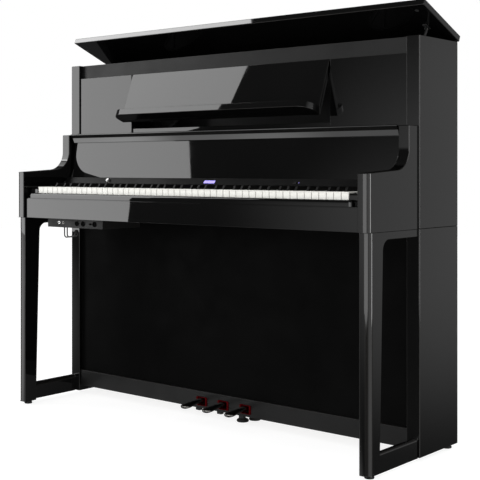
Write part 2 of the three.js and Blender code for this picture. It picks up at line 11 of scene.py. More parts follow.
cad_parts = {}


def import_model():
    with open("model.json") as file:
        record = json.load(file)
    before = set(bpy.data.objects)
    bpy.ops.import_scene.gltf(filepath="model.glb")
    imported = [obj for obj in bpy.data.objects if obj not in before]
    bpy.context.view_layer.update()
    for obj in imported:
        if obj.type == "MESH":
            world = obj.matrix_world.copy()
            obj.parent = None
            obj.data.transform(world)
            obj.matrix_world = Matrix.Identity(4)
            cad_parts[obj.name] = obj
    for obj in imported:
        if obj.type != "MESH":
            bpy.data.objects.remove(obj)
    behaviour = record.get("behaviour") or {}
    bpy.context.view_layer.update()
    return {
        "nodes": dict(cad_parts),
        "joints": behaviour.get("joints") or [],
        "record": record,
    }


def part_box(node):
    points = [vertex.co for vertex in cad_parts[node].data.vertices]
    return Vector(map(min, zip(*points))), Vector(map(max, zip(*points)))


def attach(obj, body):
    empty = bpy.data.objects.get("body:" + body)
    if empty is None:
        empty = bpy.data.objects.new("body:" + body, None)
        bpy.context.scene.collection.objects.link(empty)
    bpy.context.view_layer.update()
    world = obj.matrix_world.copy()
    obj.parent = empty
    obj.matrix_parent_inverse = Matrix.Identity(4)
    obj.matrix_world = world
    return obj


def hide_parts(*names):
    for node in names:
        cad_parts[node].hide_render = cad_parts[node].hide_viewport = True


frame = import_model()
JOINTS = {joint["name"]: joint for joint in frame["joints"]}
MM = 0.001


# ---------------------------------------------------------------- outlines and solids


def rounded(corners, steps=6):
    """An outline through corners (a, b, radius), each rounded by an arc of its own radius."""
    points = []
    for index, (a, b, radius) in enumerate(corners):
        here = Vector((a, b))
        if radius == 0:
            points.append((a, b))
            continue
        before = (Vector(corners[index - 1][:2]) - here).normalized()
        after = (Vector(corners[(index + 1) % len(corners)][:2]) - here).normalized()
        half = before.angle(after) / 2
        centre = here + (before + after).normalized() * (radius / math.sin(half))
        start = here + before * (radius / math.tan(half)) - centre
        end = here + after * (radius / math.tan(half)) - centre
        sweep = math.pi - 2 * half
        for step in range(steps + 1):
            t = step / steps
            spoke = start * math.sin((1 - t) * sweep) + end * math.sin(t * sweep)
            points.append(tuple(centre + spoke / math.sin(sweep)))
    return points


def in_mm(*points):
    """Points given in millimetres."""
    return [tuple(value * MM for value in point) for point in points]


def rectangle(low_a, low_b, high_a, high_b, radius, steps=6):
    """A rectangular outline with equal rounds at its corners."""
    corners = [(low_a, low_b), (high_a, low_b), (high_a, high_b), (low_a, high_b)]
    return rounded([(a, b, radius) for a, b in corners], steps)


def open_plan(half, front, rear, corner, steps, rear_round=0):
    """A plan from -half to half with round front corners and a straight rear side."""
    left = [(-half, rear, rear_round), (-half, front, corner)]
    return rounded(left + [(half, front, corner), (half, rear, rear_round)], steps)


def turned(radius, *rim):
    """A profile from the axis to a rim and back: each rim point is (mm past radius, height in mm)."""
    points = [(radius + past * MM, height * MM) for past, height in rim]
    return [(0, points[0][1]), *points, (0, points[-1][1])]


def circle(count):
    """The cosines and sines of angles evenly round a circle."""
    angles = [2 * math.pi * k / count for k in range(count)]
    return [(math.cos(angle), math.sin(angle)) for angle in angles]


def bridge(bm, lower, upper):
    """Makes and returns the faces between two rings with the same number of points."""
    faces = []
    for k in range(len(lower)):
        m = (k + 1) % len(lower)
        faces.append(bm.faces.new((lower[k], lower[m], upper[m], upper[k])))
    return faces


def footprint(node):
    """The middle of a node's place on the floor, and half its width."""
    low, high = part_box(node)
    return ((low.x + high.x) / 2, (low.y + high.y) / 2, 0), (high.x - low.x) / 2


PLANES = {
    "X": lambda a, b, t: (t, a, b),
    "Y": lambda a, b, t: (a, t, b),
    "Z": lambda a, b, t: (a, b, t),
}


def prism(outline, axis, low, high, bm=None):
    """An outline in the plane across an axis, run along it from low to high."""
    bm = bm or bmesh.new()
    at = PLANES[axis]
    rings = [[bm.verts.new(at(a, b, t)) for a, b in outline] for t in (low, high)]
    faces = [bm.faces.new(rings[0]), bm.faces.new(rings[1][::-1])]
    count = len(outline)
    for i in range(count):
        j = (i + 1) % count
        faces.append(bm.faces.new((rings[0][i], rings[1][i], rings[1][j], rings[0][j])))
    bmesh.ops.recalc_face_normals(bm, faces=faces)
    return bm


def block(low, high, bm=None):
    """A box between two corners."""
    outline = [(low[0], low[1]), (high[0], low[1]), (high[0], high[1]), (low[0], high[1])]
    return prism(outline, "Z", low[2], high[2], bm)


def lathe(profile, centre, axis, bm=None, segments=40):
    """A profile of (radius, height) turned about an axis through centre. It starts and ends on the axis,
    or closes on itself."""
    bm = bm or bmesh.new()
    turn = Vector((0, 0, 1)).rotation_difference(Vector(axis)).to_matrix()
    centre = Vector(centre)
    rings = []
    for radius, height in profile:
        if radius < 1e-7:
            rings.append([bm.verts.new(centre + turn @ Vector((0, 0, height)))])
            continue
        spokes = [Vector((radius * c, radius * s, height)) for c, s in circle(segments)]
        rings.append([bm.verts.new(centre + turn @ spoke) for spoke in spokes])
    closed = len(rings[0]) > 1
    pairs = list(zip(rings, rings[1:])) + ([(rings[-1], rings[0])] if closed else [])
    faces = []
    for lower, upper in pairs:
        for k in range(segments):
            m = (k + 1) % segments
            corners = [lower[k % len(lower)], lower[m % len(lower)]]
            corners += [upper[m % len(upper)], upper[k % len(upper)]]
            faces.append(bm.faces.new(list(dict.fromkeys(corners))))
    bmesh.ops.recalc_face_normals(bm, faces=faces)
    return bm


def disc(centre, axis, radius, depth, edge=0.0005, bm=None, segments=32):
    """A round slab whose base is at centre, with softly rounded rims."""
    soft = 0.3 * edge
    base = [(0, 0), (radius - edge, 0), (radius - soft, soft), (radius, edge)]
    top = [(radius, depth - edge), (radius - soft, depth - soft), (radius - edge, depth), (0, depth)]
    return lathe(base + top, centre, axis, bm, segments)


def loft(rings, bm=None):
    """Skins a row of point rings, and closes both ends."""
    bm = bm or bmesh.new()
    loops = [[bm.verts.new(point) for point in ring] for ring in rings]
    faces = [bm.faces.new(loops[0][::-1]), bm.faces.new(loops[-1])]
    for lower, upper in zip(loops, loops[1:]):
        faces += bridge(bm, lower, upper)
    bmesh.ops.recalc_face_normals(bm, faces=faces)
    return bm


def wire(points, radius, bm=None, sides=12):
    """A round wire through points, which are close together where it bends."""
    points = [Vector(p) for p in points]
    rings = []
    normal = None
    for index, point in enumerate(points):
        ahead = points[min(index + 1, len(points) - 1)] - points[max(index - 1, 0)]
        ahead.normalize()
        if normal is None:
            normal = ahead.orthogonal()
        normal = (normal - ahead * normal.dot(ahead)).normalized()
        other = ahead.cross(normal)
        rings.append([point + (normal * c + other * s) * radius for c, s in circle(sides)])
    return loft(rings, bm)


def copied(node):
    """The CAD node's own shape, with its flat faces made whole again."""
    bm = bmesh.new()
    bm.from_mesh(frame["nodes"][node].data)
    bmesh.ops.remove_doubles(bm, verts=bm.verts, dist=0.01 * MM)
    bmesh.ops.dissolve_limit(bm, angle_limit=math.radians(0.4), verts=bm.verts, edges=bm.edges)
    return bm


def moved(bm, matrix):
    bmesh.ops.transform(bm, matrix=matrix, verts=bm.verts)
    return bm


def about_x(y, z, degrees):
    """A turn about the X axis through (y, z), with the local origin there."""
    return Matrix.Translation((0, y, z)) @ Matrix.Rotation(math.radians(degrees), 4, "X")


# ---------------------------------------------------------------- pieces

EDGE_ANGLE = math.radians(28)
SHOWN = {}


def piece(name, bm, body, slot, nodes=(), radius=1.0 * MM, segments=3, material=None):
    """Makes a piece from bm. radius rounds its edges: a length, or a function of an edge's two ends.
    The rounded strips are marked with the attribute "edge" for the materials."""
    mesh = bpy.data.meshes.new(name)
    widest = 0
    if radius:
        weights = bm.edges.layers.float.new("bevel_weight_edge")
        lengths = {}
        for edge in bm.edges:
            if len(edge.link_faces) == 2 and edge.calc_face_angle(0) > EDGE_ANGLE:
                ends = [v.co for v in edge.verts]
                lengths[edge] = radius(*ends) if callable(radius) else radius
        widest = max(lengths.values(), default=0)
        for edge, length in lengths.items():
            edge[weights] = length / widest if widest else 0
    for face in bm.faces:
        face.smooth = True
    if not radius:
        for edge in bm.edges:
            edge.smooth = len(edge.link_faces) == 2 and edge.calc_face_angle(0) < EDGE_ANGLE
    bm.to_mesh(mesh)
    bm.free()
    obj = bpy.data.objects.new(name, mesh)
    bpy.context.scene.collection.objects.link(obj)
    look = material or LOOKS[slot]
    mesh.materials.append(look)
    if widest:
        mesh.materials.append(look)
        bevel = obj.modifiers.new("rounding", "BEVEL")
        bevel.limit_method = "WEIGHT"
        bevel.width = widest
        bevel.segments = segments
        bevel.material = 1
        bevel.use_clamp_overlap = False
    even = obj.modifiers.new("even_normals", "WEIGHTED_NORMAL")
    even.keep_sharp = True
    even.weight = 60
    applied = bpy.data.meshes.new_from_object(obj.evaluated_get(bpy.context.evaluated_depsgraph_get()))
    obj.modifiers.clear()
    obj.data = applied
    applied.name = name
    bpy.data.meshes.remove(mesh)
    if widest:
        edges = applied.attributes.new("edge", "FLOAT", "FACE")
        for polygon in applied.polygons:
            edges.data[polygon.index].value = float(polygon.material_index == 1)
            polygon.material_index = 0
        applied.materials.pop(index=1)
    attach(obj, body)
    if nodes:
        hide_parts(*nodes)
        for node in nodes:
            SHOWN[node] = obj
    return obj


# ---------------------------------------------------------------- materials


LOOKS = {}


def given(node, **values):
    """Sets inputs of a shader node by their names, with _ for a space."""
    for name, value in values.items():
        node.inputs[name.replace("_", " ")].default_value = value
    return node


def shader_node(tree, kind, *inputs, **settings):
    """A new node whose inputs are given in order: None keeps the default, a socket is linked."""
    made = tree.nodes.new("ShaderNode" + kind)
    for name, value in settings.items():
        setattr(made, name, value)
    for socket, value in zip(made.inputs, inputs):
        if isinstance(value, bpy.types.NodeSocket):
            tree.links.new(value, socket)
        elif value is not None:
            socket.default_value = value
    return made


class Look:
    """A material with one Principled shader. Patterns are in object coordinates, in metres."""

    def __init__(self, name, roughness=0.5, metallic=0.0, **constants):
        self.material = LOOKS[name] = bpy.data.materials.new(name)
        self.material.use_nodes = True
        self.tree = self.material.node_tree
        self.shader = self.tree.nodes["Principled BSDF"]
        given(self.shader, Roughness=roughness, Metallic=metallic, **constants)
        self.place = self.tree.nodes.new("ShaderNodeTexCoord").outputs["Object"]

    def node(self, kind, *inputs, **settings):
        return shader_node(self.tree, kind, *inputs, **settings)

    def placed(self, stretch):
        """Object coordinates, scaled along each axis if a stretch is given."""
        return self.node("Mapping", self.place, None, None, stretch).outputs[0] if stretch else self.place

    def noise(self, scale, detail=3.0, rough=0.5, stretch=None):
        made = self.node("TexNoise", self.placed(stretch))
        return given(made, Scale=scale, Detail=detail, Roughness=rough).outputs[0]

    def cells(self, scale, stretch=None):
        return given(self.node("TexVoronoi", self.placed(stretch)), Scale=scale).outputs["Distance"]

    def mapped(self, value, low, high, out_low, out_high):
        return self.node("MapRange", value, low, high, out_low, out_high).outputs[0]

    def maths(self, operation, a, b):
        return self.node("Math", a, b, operation=operation).outputs[0]

    def ramp(self, value, *stops):
        """Colours by value: stops are (position, (r, g, b))."""
        made = self.node("ValToRGB", value)
        elements = made.color_ramp.elements
        while len(elements) < len(stops):
            elements.new(0.5)
        for element, (position, colour) in zip(elements, stops):
            element.position = position
            element.color = (*colour, 1)
        return made.outputs[0]

    def edge(self):
        return self.node("Attribute", attribute_name="edge").outputs["Fac"]

    def blended(self, factor, first, second):
        made = self.node("Mix", data_type="RGBA")
        sockets = (made.inputs["Factor"], made.inputs[6], made.inputs[7])
        for socket, value in zip(sockets, (factor, first, second)):
            if isinstance(value, bpy.types.NodeSocket):
                self.tree.links.new(value, socket)
            else:
                socket.default_value = value if isinstance(value, float) else (*value, 1)
        return made.outputs[2]

    def colour(self, socket):
        self.tree.links.new(socket, self.shader.inputs["Base Color"])

    def roughness(self, socket):
        self.tree.links.new(socket, self.shader.inputs["Roughness"])

    def bump(self, height, depth, strength=1.0):
        """Relief of the given depth in metres where height goes from 0 to 1."""
        made = given(self.node("Bump"), Strength=strength, Distance=depth)
        self.tree.links.new(height, made.inputs["Height"])
        self.tree.links.new(made.outputs[0], self.shader.inputs["Normal"])


def grey(value, warmth=0.0):
    return (value * (1 + warmth), value, value * (1 - warmth))


def polished_ebony():
    look = Look("polished_ebony", IOR=1.5)
    tone = look.ramp(look.noise(2.3, 2), (0.3, grey(0.0012)), (0.7, grey(0.0022)))
    look.colour(look.blended(look.edge(), tone, grey(0.006, 0.05)))
    smears = look.mapped(look.noise(7, 5, 0.6), 0.35, 0.75, 0.01, 0.03)
    hairlines = look.mapped(look.noise(1, 2, 0.5, (24, 24, 900)), 0.55, 0.8, 0.0, 0.012)
    worn = look.maths("MULTIPLY", look.edge(), 0.05)
    look.roughness(look.maths("ADD", look.maths("ADD", smears, hairlines), worn))
    look.bump(look.noise(38, 2, 0.4), 0.02 * MM, 0.12)


def black_plastic():
    look = Look("black_plastic", IOR=1.46, Specular_IOR_Level=0.27)
    look.colour(look.ramp(look.noise(25, 3), (0.3, grey(0.006)), (0.75, grey(0.011))))
    look.roughness(look.mapped(look.noise(30, 4, 0.6), 0.3, 0.7, 0.4, 0.56))
    look.bump(look.cells(1700), 0.05 * MM, 0.6)


def red_felt():
    look = Look("red_felt", roughness=0.95, Specular_IOR_Level=0.03)
    fibres = look.noise(900, 5, 0.75)
    patches = look.noise(120, 3, 0.6)
    tone = look.ramp(fibres, (0.3, (0.026, 0.0004, 0.0008)), (0.7, (0.075, 0.001, 0.002)))
    look.colour(look.blended(patches, tone, (0.04, 0.0005, 0.001)))
    look.roughness(look.mapped(patches, 0.3, 0.7, 0.88, 1.0))
    look.bump(fibres, 0.5 * MM, 0.8)


def circuit_board():
    look = Look("circuit_board", roughness=0.45)
    tracks = look.cells(160, (1, 1, 1.8))
    copper, trench, resist = (0.06, 0.2, 0.09), (0.012, 0.075, 0.035), (0.015, 0.09, 0.04)
    look.colour(look.ramp(tracks, (0.05, copper), (0.16, trench), (0.7, resist)))
    look.roughness(look.mapped(look.noise(80, 3), 0.3, 0.7, 0.32, 0.5))
    look.bump(tracks, 0.05 * MM, 0.5)


def display_glass():
    look = Look("display_glass", roughness=0.08, IOR=1.5)
    glow = look.mapped(look.noise(120, 2), 0.3, 0.7, 0.6, 1.0)
    tone = look.ramp(glow, (0.3, (0.2, 0.15, 0.66)), (0.9, (0.38, 0.33, 0.9)))
    look.colour(tone)
    look.tree.links.new(tone, look.shader.inputs["Emission Color"])
    given(look.shader, Emission_Strength=0.7)


def finish(name, tone, rough, relief=None, rim=None, **constants):
    """A material from noises, each given by its arguments: tone is (noise, (value, colour), (value, colour)),
    rough is (noise, low, high, smoothest, roughest), relief is (noise, depth in mm, strength), and rim is the
    colour at rounded edges."""
    look = Look(name, **constants)
    noises = {row[0]: None for row in (tone, rough, relief) if row}
    for arguments in noises:
        noises[arguments] = look.noise(*arguments)
    shade = look.ramp(noises[tone[0]], *tone[1:])
    look.colour(look.blended(look.edge(), shade, rim) if rim else shade)
    look.roughness(look.mapped(noises[rough[0]], *rough[1:]))
    if relief:
        look.bump(noises[relief[0]], relief[1] * MM, relief[2])
    return look.material


BOARD_GRAIN = (1, 5, 0.6, (9, 160, 160))
KEY_STREAKS = (1, 4, 0.55, (700, 26, 700))
KEY_GRAIN = (1, 4, 0.6, (900, 40, 900))
SCUFFS = (1, 4, 0.65, (420, 60, 420))
PULP = (500, 5, 0.7)

polished_ebony()
finish("satin_ebony", ((5, 3), (0.3, grey(0.0016)), (0.75, grey(0.0034))),
       ((12, 5, 0.6), 0.3, 0.75, 0.36, 0.5), ((1400, 2, 0.5), 0.05, 0.5), grey(0.011, 0.04),
       IOR=1.5, Specular_IOR_Level=0.24)
finish("inner_board", (BOARD_GRAIN, (0.25, (0.045, 0.032, 0.024)), (0.75, (0.11, 0.08, 0.055))),
       (BOARD_GRAIN, 0.3, 0.7, 0.72, 0.9), (BOARD_GRAIN, 0.3, 0.5), roughness=0.8)
finish("key_white", (KEY_STREAKS, (0.2, (0.6, 0.595, 0.56)), (0.8, (0.66, 0.655, 0.62))),
       ((60, 4, 0.6), 0.3, 0.7, 0.26, 0.4), (KEY_STREAKS, 0.03, 0.4), IOR=1.5)
finish("key_black", (KEY_GRAIN, (0.25, grey(0.0025)), (0.8, grey(0.006, 0.03))),
       (KEY_GRAIN, 0.3, 0.75, 0.3, 0.46), (KEY_GRAIN, 0.06, 0.5), IOR=1.5, Specular_IOR_Level=0.14)
finish("dark_chrome", ((30, 3), (0.3, (0.15, 0.145, 0.14)), (0.75, (0.22, 0.215, 0.205))),
       (SCUFFS, 0.5, 0.8, 0.06, 0.2), ((90, 2), 0.04, 0.3), metallic=1.0)
finish("black_steel", ((40, 3), (0.3, grey(0.006)), (0.8, grey(0.011))), ((90, 4, 0.6), 0.3, 0.7, 0.34, 0.5),
       ((1600, 2), 0.06, 0.6), grey(0.03), IOR=1.5)
black_plastic()
finish("rubber", ((60, 4), (0.3, grey(0.004)), (0.75, grey(0.01, 0.03))), ((110, 4, 0.6), 0.3, 0.7, 0.7, 0.9),
       ((900, 3), 0.08, 0.6), IOR=1.5)
red_felt()
finish("speaker_cone", (PULP, (0.3, grey(0.012)), (0.75, grey(0.03))), (PULP, 0.3, 0.7, 0.6, 0.9),
       (PULP, 0.15, 0.6), roughness=0.8)
circuit_board()
display_glass()
finish("brass", ((60, 4), (0.3, (0.42, 0.29, 0.12)), (0.75, (0.62, 0.46, 0.2))),
       ((200, 4, 0.6), 0.3, 0.7, 0.2, 0.4), ((500, 2), 0.03, 0.4), metallic=1.0)
BRIGHT_CHROME = finish("bright_chrome", ((140, 3), (0.3, grey(0.62)), (0.7, grey(0.78))),
                       ((300, 4, 0.6), 0.4, 0.8, 0.08, 0.22), metallic=1.0)
MATT_EBONY = finish("matt_ebony", ((4, 4, 0.6), (0.3, grey(0.0008)), (0.75, grey(0.0017))),
                    ((14, 5, 0.6), 0.3, 0.75, 0.5, 0.7), ((1100, 2, 0.5), 0.06, 0.5), grey(0.009, 0.04),
                    IOR=1.5, Specular_IOR_Level=0.03)

SLOT_OF = {row["node"]: row["material_slot"] for row in frame["record"]["subparts"]}
BODY_OF = {node: body for body, nodes in frame["record"]["behaviour"]["bodies"].items() for node in nodes}
SIDES = (("left", -1), ("right", 1))


def stand_for(node, bm=None, radius=1.0 * MM, segments=3, material=None):
    """The piece that is shown in place of one CAD node, on its body and with its finish. It has the node's
    own shape if no other is given."""
    bm = bm or copied(node)
    return piece(node + "_finished", bm, BODY_OF[node], SLOT_OF[node], (node,), radius, segments, material)


def fixed(name, bm, slot, radius=0, material=None):
    """A piece on the case that stands for no CAD node."""
    return piece(name, bm, "case", slot, (), radius, material=material)


# ---------------------------------------------------------------- case


def case_sides():
    for label, side in SIDES:
        for level, front_round in (("upper", 2 * MM), ("lower", 2.5 * MM)):
            node = f"{level}_side_{label}"
            low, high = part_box(node)
            outer = low.x if side < 0 else high.x

            def radius(a, b, outer=outer, front=low.y, front_round=front_round):
                on_corner = all(abs(p.x - outer) < MM and abs(p.y - front) < MM for p in (a, b))
                return front_round if on_corner else 1.2 * MM

            stand_for(node, None, radius, 4)


def arms_and_legs():
    for label, side in SIDES:
        low, high = inset(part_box(f"arm_{label}"), side, 2.6 * MM, 1.2 * MM)
        high_front = high.y - 46.7 * MM
        hollow = low.z + 163.7 * MM
        front_top = low.z + 152 * MM
        outline = [
            (low.y, low.z, 0), (high.y, low.z, 0), (high.y, high.z, 0), (high_front, high.z, 2 * MM),
            (high_front, hollow, 62 * MM), (low.y, front_top, 0),
        ]
        shape = prism(rounded(outline, 12), "X", low.x, high.x)
        stand_for(f"arm_{label}", shape, outer_round(low, high, side, seam_z=low.z), 6)

        low, high = inset(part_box(f"leg_frame_{label}"), side, 2.8 * MM, 0.3 * MM)
        low.y -= 3.4 * MM
        under_beam = high.z - 20.6 * MM
        foot_top = low.z + FOOT_BEAM
        outline = [
            (low.y, low.z, 0), (low.y + 50.6 * MM, low.z, 0), (low.y + 51 * MM, foot_top, 0),
            (low.y + 66 * MM, under_beam, 28 * MM), (high.y, under_beam, 0), (high.y, high.z, 0),
            (low.y, high.z, 0),
        ]
        shape = prism(rounded(outline, 10), "X", low.x, high.x)
        inner, outer = (high.x - BEAM_STEP, low.x) if side < 0 else (low.x + BEAM_STEP, high.x)
        beam_front = low.y + 47 * MM
        beam = [(beam_front, low.z), (high.y, low.z), (high.y, foot_top), (beam_front, foot_top)]
        prism(beam, "X", *sorted((inner, outer)), shape)
        stand_for(f"leg_frame_{label}", shape, outer_round(low, high, side, seam_z=high.z), 6)


def inset(corners, side, inner, outer):
    """The box with its inner and outer side faces each moved outward."""
    low, high = (Vector(c) for c in corners)
    if side < 0:
        high.x -= inner
        low.x -= outer
    else:
        low.x += inner
        high.x += outer
    return low, high


FOOT_BEAM = 56 * MM
BEAM_STEP = 18 * MM


def outer_round(low, high, side, seam_z):
    """A large round down the outer front edge, fine ones at the seam and at the case, large ones along
    the top of the foot beam, and 2 mm elsewhere."""
    outer = low.x if side < 0 else high.x
    beam_top = low.z + FOOT_BEAM

    def radius(a, b):
        def along(axis, place, slack=0.5 * MM):
            return all(abs(p[axis] - place) < slack for p in (a, b))

        if along(2, seam_z) or along(1, high.y):
            return 0.8 * MM
        outside = along(0, outer)
        if along(2, beam_top) and abs(a.x - b.x) < 0.5 * MM:
            return 9 * MM if outside else 13 * MM
        if outside and along(1, low.y, 6 * MM):
            return 15 * MM
        return 2 * MM

    return radius


def glides():
    for label, _ in SIDES:
        for node in (f"leg_glide_{label}", f"rear_glide_{label}"):
            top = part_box(node)[1].z
            centre, radius = footprint(node)
            profile = turned(radius, (-2, 0), (-0.5, 0.5), (0, 2), (0, 4.5), (-1.5, 5.2), (-2, top / MM))
            stand_for(node, lathe(profile, centre, (0, 0, 1)), 0)


def back_details():
    """Screws round the back panels, and a round grille behind each speaker."""
    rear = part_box("upper_back_panel")[1].y
    screws = bmesh.new()
    for node in ("upper_back_panel", "lower_back_panel"):
        low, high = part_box(node)
        rim = 18 * MM
        rows = (low.z + rim, high.z - rim)
        side_rim = 20 * MM
        columns = [low.x + side_rim + k * (high.x - low.x - 2 * side_rim) / 6 for k in range(7)]
        spots = [(x, z) for x in columns for z in rows]
        spots += [(x, (low.z + high.z) / 2) for x in (columns[0], columns[-1])]
        for x, z in spots:
            screw(screws, (x, rear - 0.3 * MM, z), (0, 1, 0))
    fixed("back_panel_screws", screws, "black_steel")
    for label, _ in SIDES:
        low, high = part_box(f"speaker_{label}")
        centre = ((low.x + high.x) / 2, rear - 0.2 * MM, (low.z + high.z) / 2)
        shape = grille(centre, (high.x - low.x) / 2 - 6 * MM)
        fixed(f"speaker_grille_{label}", shape, "black_steel")


def screw(bm, base, axis, radius=3.6 * MM):
    """A pan head with a round recess, standing on base."""
    head = [(0, 0), (radius, 0), (radius, 0.6 * MM), (radius * 0.82, 1.5 * MM)]
    recess = [(radius * 0.45, 1.9 * MM), (radius * 0.36, 1.1 * MM), (0, 0.9 * MM)]
    lathe(head + recess, base, axis, bm, 16)


def grille(centre, radius):
    """A thin round plate standing off the panel, with raised rings."""
    bm = bmesh.new()
    plate = turned(radius, (0, 0), (0, 0.8), (-1, 1.6), (-6, 1.6), (-7, 0.9))
    lathe(plate, centre, (0, 1, 0), bm, 64)
    ring = radius - 14 * MM
    while ring > 8 * MM:
        profile = turned(ring, (0, 0.4), (1.5, 0.8), (2.2, 1.7), (1.5, 2.0), (0, 1.2))[1:-1]
        lathe(profile, centre, (0, 1, 0), bm, 64)
        ring -= 6 * MM
    return bm


def power_inlet():
    node = "power_inlet"
    low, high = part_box(node)
    stand_for(node, radius=1.5 * MM)
    pins = bmesh.new()
    middle = ((low.x + high.x) / 2, (low.z + high.z) / 2)
    for offset in (-5 * MM, 5 * MM):
        pin = [(middle[0] + offset, high.y - 14 * MM + k * 3 * MM, middle[1]) for k in range(4)]
        wire(pin, 1.2 * MM, pins)
    fixed("inlet_pins", pins, "brass")
    screws = bmesh.new()
    for side in (-1, 1):
        screw(screws, (middle[0] + side * 20 * MM, high.y - 0.2 * MM, middle[1]), (0, 1, 0), 2.6 * MM)
    fixed("inlet_screws", screws, "black_steel")


# ---------------------------------------------------------------- keyboard

PITCH = 23.5 * MM
NATURALS = 52
MIDDLE_C = 23
LETTERS = "ABCDEFG"
SHARP_SHIFT = {"A": 4 * MM, "C": -3 * MM, "D": 3 * MM, "F": -4 * MM, "G": 0.0}
KEY_GAP = 0.15 * MM
HEAD = 50 * MM
SHARP_HALF = 5.5 * MM


def natural_left(index):
    return (index - NATURALS / 2) * PITCH


def sharp_after(index):
    letter = LETTERS[index % 7]
    if letter not in SHARP_SHIFT or not 0 <= index < NATURALS - 1:
        return None
    return natural_left(index + 1) + SHARP_SHIFT[letter]


def natural_key(index, bm):
    """A key top with a plain head and a tail cut round the sharps beside it, over a smaller stick."""
    low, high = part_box("key_C4")
    left = natural_left(index) + KEY_GAP
    right = natural_left(index + 1) - KEY_GAP
    head_end = low.y + HEAD
    reach = SHARP_HALF + MM
    before = sharp_after(index - 1)
    after = sharp_after(index)
    tail_left = left if before is None else before + reach
    tail_right = right if after is None else after - reach

    def outline(inset, front):
        points = [(left + inset, front, 1.2 * MM), (right - inset, front, 1.2 * MM)]
        if after is not None:
            points += [(right - inset, head_end, 0.8 * MM), (tail_right - inset, head_end, 0)]
        points += [(tail_right - inset, high.y, 0), (tail_left + inset, high.y, 0)]
        if before is not None:
            points += [(tail_left + inset, head_end, 0), (left + inset, head_end, 0.8 * MM)]
        return rounded(points, 3)

    top_thickness = 3.2 * MM
    prism(outline(0, low.y), "Z", high.z - top_thickness, high.z, bm)
    prism(outline(0.35 * MM, low.y + 0.5 * MM), "Z", low.z, high.z - top_thickness, bm)


def sharp_key(index, bm):
    """A tapered block: its sides lean in, its front slopes, and its low tail runs under the control panel."""
    low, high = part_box("key_Cs4")
    centre = sharp_after(index)
    natural_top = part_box("key_C4")[1].z
    head_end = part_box("control_panel")[0].y - 4 * MM
    top_front, front_break = low.y + 8 * MM, 1.5 * MM
    top_width = 0.8
    outline = [
        (low.y, low.z), (high.y, low.z), (high.y, natural_top), (head_end, natural_top), (head_end, high.z),
        (top_front, high.z), (low.y + front_break, natural_top + front_break), (low.y, natural_top),
    ]
    made = prism(outline, "X", centre - SHARP_HALF, centre + SHARP_HALF)
    for vertex in made.verts:
        if vertex.co.z > natural_top + MM:
            vertex.co.x = centre + (vertex.co.x - centre) * top_width
    mesh = bpy.data.meshes.new("sharp")
    made.to_mesh(mesh)
    made.free()
    bm.from_mesh(mesh)
    bpy.data.meshes.remove(mesh)


def keys(indexes, naturals_node, sharps_node):
    """The naturals of these indexes as one piece, and the sharps after them as another."""
    naturals = bmesh.new()
    for index in indexes:
        natural_key(index, naturals)
    stand_for(naturals_node, naturals, 0.5 * MM, 2)
    with_sharp = [index for index in indexes if sharp_after(index) is not None]
    if with_sharp:
        sharps = bmesh.new()
        for index in with_sharp:
            sharp_key(index, sharps)
        stand_for(sharps_node, sharps, 1.1 * MM, 3)


def keyboard():
    keys(range(0, MIDDLE_C), "naturals_low", "sharps_low")
    keys(range(MIDDLE_C + 7, NATURALS), "naturals_high", "sharps_high")
    for index in range(MIDDLE_C, MIDDLE_C + 7):
        letter = LETTERS[index % 7]
        keys([index], f"key_{letter}4", f"key_{letter}s4")


def key_slip():
    """The face board in front of the keys, with a fine groove under a shorter nose that has rounded ends."""
    low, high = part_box("key_slip")
    face = low.y + 2 * MM
    under_nose = high.z - 18 * MM
    groove_back, groove_top, groove_low = face + 2 * MM, under_nose - 0.2 * MM, under_nose - 1.6 * MM
    outline = [
        (face, low.z, 0.8 * MM), (high.y, low.z, 0.8 * MM), (high.y, groove_top, 0),
        (groove_back, groove_top, 0), (groove_back, groove_low, 0), (face, groove_low - 0.2 * MM, 0.4 * MM),
    ]
    stand_for("key_slip", prism(rounded(outline, 7), "X", low.x, high.x), 0)

    half = high.x - 17 * MM
    end_round = 10 * MM
    rings = []
    for height, back in ((0, 0.8), (0.8, 0), (10.5, 0), (14.2, 1.1), (16.6, 3.4), (17.7, 6.2), (18, 10)):
        plan = open_plan(half - back * MM, low.y + back * MM, high.y - 0.5 * MM, end_round, 8)
        rings.append([(x, y, under_nose + height * MM) for x, y in plan])
    fixed("key_slip_nose", loft(rings), "polished_ebony")


# ---------------------------------------------------------------- controls


def slope_frame(x):
    """The sloping face of the control panel: its centre height, with Z along its outward normal."""
    axis = Vector(JOINTS["volume_knob_turn"]["axis"])
    seat = Vector(JOINTS["volume_knob_turn"]["pos_m"])
    up_slope = Vector((1, 0, 0)).cross(axis) * -1
    turn = Matrix(((1, 0, 0), (0, -up_slope.y, -up_slope.z), (0, axis.y, axis.z))).transposed().to_4x4()
    return Matrix.Translation((x, seat.y, seat.z)) @ turn


